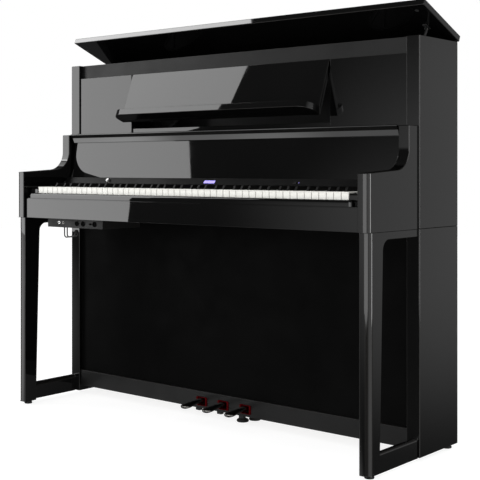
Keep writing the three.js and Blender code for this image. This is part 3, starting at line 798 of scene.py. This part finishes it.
def controls():
    stand_for("control_panel", radius=0.8 * MM)
    knob = JOINTS["volume_knob_turn"]["pos_m"]
    radius = 7.5 * MM
    notches = 24
    notch_depth = 0.035
    rings = []
    for height, scale in ((0.4, 0.97), (0.9, 1.0), (5.8, 0.95), (7.2, 0.88), (8.0, 0.72)):
        ring = []
        for k in range(notches * 4):
            angle = 2 * math.pi * k / (notches * 4)
            ripple = 1 - notch_depth * (0.5 + 0.5 * math.cos(notches * angle)) * (scale > 0.9)
            reach = radius * scale * ripple
            ring.append((reach * math.cos(angle), reach * math.sin(angle), height * MM))
        rings.append(ring)
    seat = slope_frame(knob[0])
    stand_for("volume_knob", moved(loft(rings), seat), 0, material=BRIGHT_CHROME)
    pointer = block((-0.5 * MM, 2.2 * MM, 7.6 * MM), (0.5 * MM, 5.6 * MM, 8.3 * MM))
    pointer = moved(pointer, seat)
    piece("volume_pointer", pointer, "volume_knob", "black_plastic", radius=0.2 * MM, material=BRIGHT_CHROME)
    collar = in_mm((8.2, 0.05), (9.6, 0.05), (9.6, 0.7), (9.2, 1.1), (8.2, 0.9))
    collar = lathe(collar, (0, 0, 0), (0, 0, 1), segments=48)
    fixed("volume_collar", moved(collar, seat), "dark_chrome")

    stand_for("power_button", radius=0.9 * MM)
    lamp = disc((14 * MM, 0, 0), (0, 0, 1), 1.1 * MM, 0.6 * MM, 0.2 * MM)
    button = footprint("power_button")[0]
    fixed("power_lamp", moved(lamp, slope_frame(button[0])), "display_glass")
    display()


def display():
    """A small plain lit window in a thin frame."""
    centre = 9 * MM
    half_width = 21.5 * MM
    half_height = 5.5 * MM
    rim = 1.6 * MM
    a, b = half_width + rim, half_height + rim
    bezel = prism(rectangle(-a, -b, a, b, 2 * MM), "Z", -1.0 * MM, 0.5 * MM)
    fixed("display_frame", moved(bezel, slope_frame(centre)), "black_plastic", 0.3 * MM)
    pane = rectangle(-half_width, -half_height, half_width, half_height, MM)
    window = prism(pane, "Z", 0.2 * MM, 0.9 * MM)
    fixed("display_window", moved(window, slope_frame(centre)), "display_glass", 0.2 * MM)


# ---------------------------------------------------------------- fallboard


def fallboard():
    hinge = JOINTS["fallboard_hinge"]["pos_m"]
    low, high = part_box("fallboard")
    lean = -5
    place = about_x(hinge[1], hinge[2], lean)
    face = 28.7 * MM
    back = 42.7 * MM
    board_half = 645.3 * MM

    def part(name, bm, slot, radius=0):
        piece("fallboard_" + name, moved(bm, place), "fallboard", slot, radius=radius)

    foot, height = 4 * MM, 173 * MM
    outline = [(face, foot, 1.5 * MM), (back, foot, 2 * MM), (back, height, 3 * MM), (face, height, 0)]
    board = prism(rounded(outline), "X", -board_half, board_half)
    piece("fallboard_panel", moved(board, place), "fallboard", "polished_ebony", ("fallboard",), 1.0 * MM)

    step_tilt = 4.4 * MM
    lip_back, lip_foot = face + 3 * MM, 144.5 * MM
    lip = [(lip_back, lip_foot, 0), (16 * MM + step_tilt, lip_foot, 0.8 * MM)]
    lip += in_mm((15.6, 160.2, 0.3), (14.2, 160.9, 0.3), (6.2, 169.6, 0.6), (5.6, 171.4, 0.4))
    lip += [(6.8 * MM, height, 0.4 * MM), (lip_back, height, 0)]
    part("lip", prism(rounded(lip), "X", low.x + 3 * MM, high.x - 3 * MM), "polished_ebony", 0.8 * MM)
    soffit = in_mm((14.2, 160.9), (6.2, 169.6), (5.9, 169.3), (13.9, 160.6))
    part("lip_soffit", prism(soffit, "X", low.x + 4 * MM, high.x - 4 * MM), "satin_ebony")

    for label, side in SIDES:
        boss = [math.radians(degrees) for degrees in range(100, 301, 10)]
        plate = in_mm(*[(10 * math.cos(t), 10 * math.sin(t)) for t in boss])
        plate += [(face + 6 * MM, 3 * MM), (back, 8 * MM), (back, 60 * MM), (face + 4 * MM, 60 * MM),
                  (face - 6 * MM, 24 * MM)]
        spans = sorted((side * (board_half + 0.2 * MM), side * (board_half + 2.6 * MM)))
        part(f"bracket_{label}", prism(plate, "X", *spans), "black_steel", 0.4 * MM)
        outside = side * (board_half + 2.4 * MM)
        part(f"pin_{label}", disc((outside, 0, 0), (side, 0, 0), 5 * MM, 3.4 * MM), "dark_chrome")
        screws = bmesh.new()
        for up in (30 * MM, 50 * MM):
            screw(screws, (outside, face + 9 * MM, up), (side, 0, 0), 2.4 * MM)
        part(f"screws_{label}", screws, "dark_chrome")
        bumper = disc((side * 610 * MM, 10 * MM, 172.6 * MM), (0, 0, 1), 4 * MM, 2.2 * MM, 0.8 * MM)
        part(f"bumper_{label}", bumper, "rubber")
    stand_for("fallboard_stop_rail")


# ---------------------------------------------------------------- music rest


def music_rest():
    hinge = JOINTS["music_rest_hinge"]["pos_m"]
    tilt = -20.5
    place = about_x(hinge[1], hinge[2], tilt)
    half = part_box("music_rest_board")[1].x
    front = -7 * MM
    board_back = 7 * MM
    board = block((-half, front, -142.7 * MM), (half, board_back, 6 * MM))
    stand_for("music_rest_board", moved(board, place), 1.4 * MM)
    ledge_front = board_back - 66 * MM
    corner = 44 * MM
    wall = 7 * MM
    bottom, tray, top = -163 * MM, -151 * MM, -143 * MM
    ledge = bmesh.new()
    outer = open_plan(half, ledge_front, board_back, corner, 14)
    inner = open_plan(half - wall, ledge_front + wall, front - 0.3 * MM, corner - wall, 14)
    # the outer wall, the flat rim, the inner wall, and the tray, sharing one run of points
    levels = ((outer, bottom), (outer, top), (inner, top), (inner, tray))
    rings = [[ledge.verts.new((x, y, z)) for x, y in points] for points, z in levels]
    ledge.faces.new(rings[0])
    ledge.faces.new(rings[3])
    for below, above in zip(rings, rings[1:]):
        bridge(ledge, below, above)
    bmesh.ops.recalc_face_normals(ledge, faces=ledge.faces)
    stand_for("music_rest_ledge", moved(ledge, place), 1.3 * MM)
    mat = open_plan(half - 16 * MM, ledge_front + 12 * MM, front - 3 * MM, 26 * MM, 8, 2 * MM)
    mat = prism(mat, "Z", tray - 0.1 * MM, tray + 0.8 * MM)
    piece("music_rest_mat", moved(mat, place), "music_rest", "rubber", radius=0.3 * MM)
    for label, side in SIDES:
        knuckle = bmesh.new()
        for k in range(3):
            start = (side * (half - (30 + 16 * k) * MM), hinge[1] + 1.5 * MM, hinge[2] + 1.5 * MM)
            disc(start, (side, 0, 0), 3 * MM, 15 * MM, 0.6 * MM, knuckle)
        fixed(f"music_rest_hinge_{label}", knuckle, "black_steel")


# ---------------------------------------------------------------- lid


def top_lid():
    hinge = JOINTS["lid_hinge"]["pos_m"]
    opening = -22
    place = about_x(hinge[1], hinge[2], opening)
    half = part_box("top_lid")[1].x
    board = block((-half, -221 * MM, 0.2 * MM), (half, 2 * MM, 18.2 * MM))
    stand_for("top_lid", moved(board, place), 2.0 * MM, 4)
    for label, side in SIDES:
        bumper = disc((side * 660 * MM, -192 * MM, 0.4 * MM), (0, 0, -1), 6 * MM, 0.8 * MM, 0.3 * MM)
        piece(f"lid_bumper_{label}", moved(bumper, place), "lid", "rubber", radius=0)

    reach = half - 60 * MM
    leaf = block((-reach, -17 * MM, -1.2 * MM), (reach, -5.5 * MM, 0.3 * MM))
    piece("lid_hinge_leaf", moved(leaf, place), "lid", "brass", radius=0.3 * MM)
    barrel = bmesh.new()
    length = 26 * MM
    count = int(2 * reach / length)
    for k in range(count):
        start = (-count * length / 2 + k * length, hinge[1] - 0.5 * MM, hinge[2] - 0.9 * MM)
        disc(start, (1, 0, 0), 2.4 * MM, length - 0.6 * MM, 0.4 * MM, barrel, 14)
    fixed("lid_hinge_barrel", barrel, "brass")

    low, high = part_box("lid_stay")
    stay = JOINTS["lid_stay_fold"]["pos_m"]
    stand_for("lid_stay", radius=0.7 * MM)
    proud = 1.2 * MM
    rivet = disc((low.x - proud, stay[1], stay[2]), (1, 0, 0), 3 * MM, high.x - low.x + 2 * proud, 0.9 * MM)
    piece("lid_stay_rivet", rivet, "lid_stay", "dark_chrome", radius=0)
    bracket = block((low.x - 8 * MM, -114 * MM, -1.6 * MM), (high.x + 1 * MM, -86 * MM, 0.4 * MM))
    block((low.x - 3.2 * MM, -107 * MM, -11 * MM), (low.x - 1.4 * MM, -93 * MM, -0.5 * MM), bracket)
    piece("lid_stay_bracket", moved(bracket, place), "lid", "black_steel", radius=0.6 * MM)


# ---------------------------------------------------------------- pedals


def pedal_ring(x, y, half_width, upper, thickness, count=28):
    """A flattened oval section across a pedal at y."""
    ring = []
    for c, s in circle(count):
        across = math.copysign(abs(c) ** 0.8, c) * half_width
        through = math.copysign(abs(s) ** 0.85, s) * thickness / 2
        ring.append((x + across, y, upper - thickness / 2 + through))
    return ring


def eased(t):
    t = min(max(t, 0), 1)
    return t * t * (3 - 2 * t)


def pedals():
    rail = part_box("toe_rail")[0].y
    for label in ("left", "middle", "right"):
        low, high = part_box(f"pedal_{label}")
        x = (low.x + high.x) / 2
        toe_half = (high.x - low.x) / 2
        arm_half = 12.5 * MM
        toe_top = low.z + 12.5 * MM
        full = 12.5 * MM
        rings = []
        steps = 44
        for k in range(steps + 1):
            y = low.y + (high.y - low.y) * (k / steps) ** 1.5
            from_tip = y - low.y
            widening = eased((from_tip - toe_half) / (36 * MM))
            half_width = toe_half + (arm_half - toe_half) * widening
            if from_tip < toe_half:
                half_width = toe_half * math.sqrt(max(1 - (1 - from_tip / toe_half) ** 2, 0.0025))
            upper = toe_top + (high.z - toe_top) * eased((y - low.y) / (90 * MM))
            thickness = full * (0.5 + 0.5 * eased(from_tip / (6 * MM)))
            upper -= (full - thickness) * 0.5
            rings.append(pedal_ring(x, y, half_width, upper, thickness))
        stand_for(f"pedal_{label}", loft(rings), 0)
        felt_collar(label, x, rail)


def felt_collar(label, x, rail):
    """A felt-lined slot in the toe rail that the pedal passes through."""
    slot = {"half": 21.2 * MM, "low": 38.8 * MM, "high": 66.2 * MM}
    hole = {"half": 15.5 * MM, "low": 40.2 * MM, "high": 64.4 * MM}
    outer = rectangle(x - slot["half"], slot["low"], x + slot["half"], slot["high"], 3 * MM, 5)
    inner = rectangle(x - hole["half"], hole["low"], x + hole["half"], hole["high"], 2 * MM, 5)
    bm = bmesh.new()
    front, rear = rail - 3 * MM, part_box("toe_rail")[1].y
    depths = [(outer, rear), (outer, front), (inner, front), (inner, rear)]
    rings = [[bm.verts.new((a, y, b)) for a, b in points] for points, y in depths]
    for ring, following in zip(rings, rings[1:] + rings[:1]):
        bridge(bm, ring, following)
    bmesh.ops.recalc_face_normals(bm, faces=bm.faces)
    fixed(f"pedal_felt_{label}", bm, "red_felt", 0.7 * MM)


def pedal_stops():
    """Small brackets under the toe rail beside each pedal, and a second low foot."""
    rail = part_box("toe_rail")[0]
    for label in ("left", "middle", "right"):
        x = footprint(f"pedal_{label}")[0][0] - 20 * MM
        half = 9 * MM
        near = (x - half, rail.y + 3 * MM, rail.z - 9 * MM)
        stop = block(near, (x + half, rail.y + 17 * MM, rail.z + 0.4 * MM))
        fixed(f"pedal_stop_{label}", stop, "rubber", 1.5 * MM)
    low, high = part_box("adjuster_foot")
    centre = (low.x + 35 * MM, high.y + 22 * MM, 0)
    top = high.z + 2 * MM
    profile = in_mm((0, 0), (17, 0), (18.5, 1.5), (18.5, 5), (16, 8), (7, 10), (5, 12))
    profile += [(5 * MM, top), (0, top)]
    fixed("pedal_rear_foot", lathe(profile, centre, (0, 0, 1)), "rubber")


def adjuster():
    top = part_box("adjuster_foot")[1].z
    centre, radius = footprint("adjuster_foot")
    stem = 8 * MM
    profile = turned(radius, (-1.5, 0), (0, 1.2), (0, 5.5), (-2, 8))[:-1]
    profile += in_mm((13, 10), (8, 11))
    height = 11.5 * MM
    while height < top - 1.5 * MM:
        profile += [(stem, height), (stem - 0.8 * MM, height + 0.6 * MM)]
        height += 1.25 * MM
    profile += [(stem, top), (0, top)]
    stand_for("adjuster_foot", lathe(profile, centre, (0, 0, 1)), 0)


# ---------------------------------------------------------------- jack box and hook


def jack_box():
    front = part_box("jack_box")[0].y
    stand_for("jack_box", radius=1.2 * MM)
    height = 616.5 * MM
    for label, x, look in (("1", -505 * MM, BRIGHT_CHROME), ("2", -485 * MM, LOOKS["dark_chrome"])):
        sleeve, flange = in_mm((3.1, -9), (3.5, -9), (3.5, 0)), in_mm((4.8, 0), (4.8, 0.9), (4.3, 1.5))
        ring = lathe(sleeve + flange + in_mm((3.4, 1.5), (3.1, 1.1)), (x, front, height), (0, -1, 0))
        fixed(f"phones_jack_{label}", ring, "dark_chrome", material=look)
        # Painted shade: a near-black disc plugs the mouth of each jack and stands in for the dark inside of
        # its hole.
        hole_shade_disc = disc((x, front + 0.4 * MM, height), (0, -1, 0), 3.6 * MM, 1.9 * MM, 0.3 * MM)
        fixed(f"phones_jack_well_{label}", hole_shade_disc, "rubber", material=MATT_EBONY)
    # Each socket is a closed cup in the darkest matt black: its rim is the socket's own black, and its closed
    # floor is painted shade standing in for the dark hole.
    sockets = (("a", -421, 8.0), ("b", -392, 8.0), ("c", -358, 3.4), ("d", -339, 8.0))
    for label, x, radius in sockets:
        radius *= MM
        shell = lathe(
            [(0, 0.2 * MM), (radius * 0.72, 0.2 * MM), (radius * 0.78, 2.4 * MM), (radius * 0.95, 2.6 * MM),
             (radius, 2.2 * MM), (radius, -0.4 * MM), (0, -0.4 * MM)],
            (x * MM, front, height - MM), (0, -1, 0))
        fixed(f"socket_{label}", shell, "rubber", material=MATT_EBONY)


def headphone_hook():
    """A bent wire: two parallel runs down, across and up, joined under a soft cap at the tip."""
    low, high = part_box("headphone_hook")
    middle = (low.y + high.y) / 2
    half_gap = 6 * MM
    left = low.x + 2.6 * MM
    right = high.x - 2.6 * MM
    side_view = rounded(
        [(left, high.z, 0), (left, low.z + 2.6 * MM, 9 * MM), (right, low.z + 9 * MM, 9 * MM),
         (right, low.z + 24 * MM, 0), (left + 60 * MM, high.z + 60 * MM, 0)], 8)[:-1]
    front = [(x, middle - half_gap, z) for x, z in side_view]
    rear = [(x, middle + half_gap, z) for x, z in side_view]
    tip_x, tip_z = side_view[-1]
    bend = [
        (tip_x, middle - half_gap * math.cos(t), tip_z + half_gap * 0.6 * math.sin(t))
        for t in [math.pi * k / 8 for k in range(1, 8)]
    ]
    stand_for("headphone_hook", wire(front + bend + rear[::-1], 2.1 * MM), 0)
    rings = []
    for k in range(9):
        t = k / 8
        height = tip_z - 8 * MM + t * 13 * MM
        swell = math.sqrt(max(1 - (2 * t - 1) ** 4, 0.02))
        across, along = 3.4 * MM * swell, (half_gap + 2.6 * MM) * swell
        rings.append([(tip_x + across * c, middle + along * s, height) for c, s in circle(24)])
    fixed("headphone_hook_cap", loft(rings), "rubber")


# ---------------------------------------------------------------- inside the case


def speakers():
    for label, _ in SIDES:
        low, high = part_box(f"speaker_{label}")
        centre = ((low.x + high.x) / 2, high.y, (low.z + high.z) / 2)
        magnet = in_mm((0, 62), (26, 62), (28, 60), (28, 44), (30, 42))
        basket = in_mm((46, 30), (74, 9), (81, 8), (82, 7), (82, 0.5))
        cone = in_mm((72, 0.5), (66, 3), (60, 0.8), (24, 30), (12, 24), (0, 21))
        stand_for(f"speaker_{label}", lathe(magnet + basket + cone, centre, (0, -1, 0), segments=56), 0)
        ribs = bmesh.new()
        for c, s in circle(8):
            spoke = Vector((c, 0, s))
            start = Vector(centre) + spoke * 32 * MM + Vector((0, -43 * MM, 0))
            end = Vector(centre) + spoke * 76 * MM + Vector((0, -10 * MM, 0))
            wire([start.lerp(end, t / 4) for t in range(5)], 2.4 * MM, ribs, 8)
        fixed(f"speaker_ribs_{label}", ribs, "black_steel")


def main_board():
    low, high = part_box("main_board")
    board_front = high.y - 6 * MM
    board = block((low.x, board_front, low.z), (high.x, board_front + 1.6 * MM, high.z))
    for x in (low.x + 8 * MM, high.x - 8 * MM):
        for z in (low.z + 8 * MM, high.z - 8 * MM):
            block((x - 3 * MM, board_front + 1.5 * MM, z - 3 * MM), (x + 3 * MM, high.y, z + 3 * MM), board)
    stand_for("main_board", board, 0.4 * MM)
    chips = bmesh.new()
    sizes = ((-120, 22, 26, 26), (-60, 14, 18, 10), (-20, -18, 34, 14), (50, 20, 22, 22), (110, -12, 16, 30))
    for x, z, width, height in sizes:
        centre_z = (low.z + high.z) / 2 + z * MM
        block((x * MM - width / 2 * MM, board_front - 3 * MM, centre_z - height / 2 * MM),
              (x * MM + width / 2 * MM, board_front + 0.2 * MM, centre_z + height / 2 * MM), chips)
    for k in range(7):
        can = ((-150 + 14 * k) * MM, board_front, low.z + 14 * MM)
        disc(can, (0, -1, 0), 4 * MM, 7 * MM, 0.6 * MM, chips, 20)
    fixed("board_components", chips, "black_plastic", 0.4 * MM)


def upper_panel():
    """The front panel with its opening, and the recessed sill board behind the opening's lower edge."""
    low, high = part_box("upper_front_panel")
    half = 400 * MM
    opening = 914 * MM
    outline = [
        (low.x, low.z), (high.x, low.z), (high.x, high.z), (half, high.z), (half, opening), (-half, opening),
        (-half, high.z), (low.x, high.z),
    ]
    stand_for("upper_front_panel", prism(outline, "Y", low.y, high.y), 1.2 * MM)
    sill = block((-half + MM, low.y + 5 * MM, opening - 8 * MM), (half - MM, high.y - 0.5 * MM, 927.5 * MM))
    fixed("music_rest_sill", sill, "polished_ebony", 1.2 * MM)


def low_panels():
    stand_for("knee_panel", material=MATT_EBONY)
    stand_for("toe_rail", material=LOOKS["satin_ebony"])


def remaining_nodes():
    """Every CAD node that has no piece of its own yet is shown with softened edges."""
    for node in sorted(frame["nodes"]):
        if node not in SHOWN:
            stand_for(node)


# ---------------------------------------------------------------- studio

VIEW_TURN = math.radians(41.237)
CAMERA_PLACE = (2.1366, -2.5771, 0.7941)


def camera():
    data = bpy.data.cameras.new("camera")
    data.sensor_width = 36
    data.lens = 80.52
    data.shift_x = 0.104
    data.shift_y = -0.1494
    obj = bpy.data.objects.new("camera", data)
    obj.location = CAMERA_PLACE
    obj.rotation_euler = (math.pi / 2, 0, VIEW_TURN)
    bpy.context.scene.collection.objects.link(obj)
    bpy.context.scene.camera = obj


def sheet(half_a, half_b):
    """The corners of a flat sheet about its middle."""
    return [(-half_a, -half_b), (half_a, -half_b), (half_a, half_b), (-half_a, half_b)]


def staged(name, corners, material):
    """A flat sheet with this outline that belongs to the studio."""
    mesh = bpy.data.meshes.new(name)
    mesh.from_pydata(corners, [], [range(len(corners))])
    mesh.materials.append(material)
    obj = bpy.data.objects.new(name, mesh)
    bpy.context.scene.collection.objects.link(obj)
    return obj


def floor():
    look = Look("studio_floor", roughness=0.7, Emission_Strength=0.85, Emission_Color=(1, 1, 1, 1))
    look.colour(look.ramp(look.noise(1.5, 3), (0.3, grey(0.2)), (0.7, grey(0.23))))
    reach = 9
    staged("floor", [(x, y, 0) for x, y in sheet(reach, reach)], look.material).visible_glossy = False


def softbox(name, corners, strength):
    """A flat sheet of light with the given outline, seen only in what it lights and in reflections."""
    look = bpy.data.materials.new(name)
    look.use_nodes = True
    look.node_tree.nodes.clear()
    emission = shader_node(look.node_tree, "Emission", None, strength)
    shader_node(look.node_tree, "OutputMaterial", emission.outputs[0])
    obj = staged(name, corners, look)
    obj.visible_camera = False
    return obj


def soft_glow(name, centre, reach, strength):
    """A clear oval sheet of light facing the front, brightest in its middle and fading out at its rim."""
    obj = softbox(name, [(x, 0, z) for x, z in sheet(*reach)], strength)
    obj.location = centre
    tree = obj.data.materials[0].node_tree
    place = shader_node(tree, "TexCoord").outputs["Object"]
    scaled = shader_node(tree, "Mapping", place, None, None, (1 / reach[0], 1, 1 / reach[1]))
    distance = shader_node(tree, "VectorMath", scaled.outputs[0], operation="LENGTH").outputs["Value"]
    fade = shader_node(tree, "MapRange", distance, 1, 0, 0, strength, interpolation_type="SMOOTHSTEP")
    emission = tree.nodes["Emission"]
    tree.links.new(fade.outputs[0], emission.inputs["Strength"])
    clear = shader_node(tree, "BsdfTransparent")
    both = shader_node(tree, "AddShader", clear.outputs[0], emission.outputs[0])
    tree.links.new(both.outputs[0], tree.nodes["Material Output"].inputs[0])
    return obj


def keep_light_off(light, *names):
    """The named pieces take no light from this source."""
    shaded = bpy.data.collections.new(light.name + "_off")
    for name in names:
        shaded.objects.link(bpy.data.objects[name])
    light.light_linking.receiver_collection = shaded
    for member in shaded.collection_objects:
        member.light_linking.link_state = "EXCLUDE"


def lights():
    front = -3.0
    key_outline = [
        (-6.6, 0.31), (-2.92, 0.31), (-2.88, 0.55), (-2.87, 1.04), (-2.71, 1.08), (-2.74, 1.26), (-2.79, 1.5),
        (-3.36, 3.95), (-3.45, 4.7), (-7.2, 4.7),
    ]
    key = softbox("key_softbox", [(x, front, z) for x, z in key_outline], 4.2)
    keep_light_off(key, "arm_right_finished")
    lid_outline = [(-7.2, 4.72), (-3.46, 4.72), (-4.2, 6.0), (-7.6, 6.0)]
    softbox("lid_softbox", [(x, front, z) for x, z in lid_outline], 9.6)
    glow = soft_glow("front_glow", (-0.8, front - 0.05, 0.6), (1.45, 1.3), 0.76)
    keep_light_off(glow, "lower_side_right_finished")
    height = 1.9
    left, right = -0.86, 2.5
    corners = [(left, front, 0), (right, front, 0), (right, front, height), (left, front, height)]
    softbox("front_softbox", corners, 2.9)
    side, near, far = 3.2, 0.6, 1.6
    softbox("side_strip", [(side, near, 0), (side, far, 0), (side, far, height), (side, near, height)], 6.5)
    top = 3.4
    softbox("top_softbox", [(-4.4, -1.2, top), (-2.4, -1.2, top), (-2.4, 0.8, top), (-4.4, 0.8, top)], 1.5)


def world():
    """White to the camera, a bright room to matt surfaces, and a dark one with soft glows in reflections."""
    made = bpy.data.worlds.new("studio")
    made.use_nodes = True
    bpy.context.scene.world = made
    made.node_tree.nodes.clear()

    def node(kind, *inputs, **settings):
        return shader_node(made.node_tree, kind, *inputs, **settings)

    direction = node("TexCoord").outputs["Generated"]

    def glow(azimuth, elevation, inner, outer, strength):
        """A soft round glow, by its azimuth from -Y towards +X and its elevation, in degrees."""
        a, e, core, rim = (math.radians(value) for value in (azimuth, elevation, inner, outer))
        middle = (math.cos(e) * math.sin(a), -math.cos(e) * math.cos(a), math.sin(e))
        dot = node("VectorMath", direction, middle, operation="DOT_PRODUCT").outputs["Value"]
        limits = (math.cos(rim), math.cos(core), 0, strength)
        return node("MapRange", dot, *limits, interpolation_type="SMOOTHSTEP").outputs[0]

    dark_room, bright_room, backdrop = 0.07, 1.25, 1.0
    total = dark_room
    glows = [
        (-55, -7.5, 2, 8.6, 2.0),
        (-40, -14, 1, 10, 0.2),
        (-49.5, -17.6, 2, 5.8, 4.0),
        (-43, -19.5, 2, 7.4, 1.8),
        (-35, -21.5, 3, 8.5, 1.3),
        (150, 0, 2, 15, 0.4),
        (80, -6, 10, 55, 0.95),
    ]
    for values in glows:
        total = node("Math", glow(*values), total, operation="ADD").outputs[0]

    path = node("LightPath")
    room = node("Mix", path.outputs["Is Diffuse Ray"], None, total, bright_room)
    seen = node("Mix", path.outputs["Is Camera Ray"], None, room.outputs[0], backdrop)
    background = node("Background", (1, 1, 1, 1), seen.outputs[0])
    node("OutputWorld", background.outputs[0])


# ---------------------------------------------------------------- the whole

camera()
world()
floor()
bpy.context.scene.view_settings.view_transform = "Standard"

case_sides()
arms_and_legs()
glides()
back_details()
power_inlet()
keyboard()
key_slip()
controls()
fallboard()
music_rest()
top_lid()
pedals()
pedal_stops()
adjuster()
jack_box()
headphone_hook()
speakers()
main_board()
upper_panel()
low_panels()
remaining_nodes()
lights()
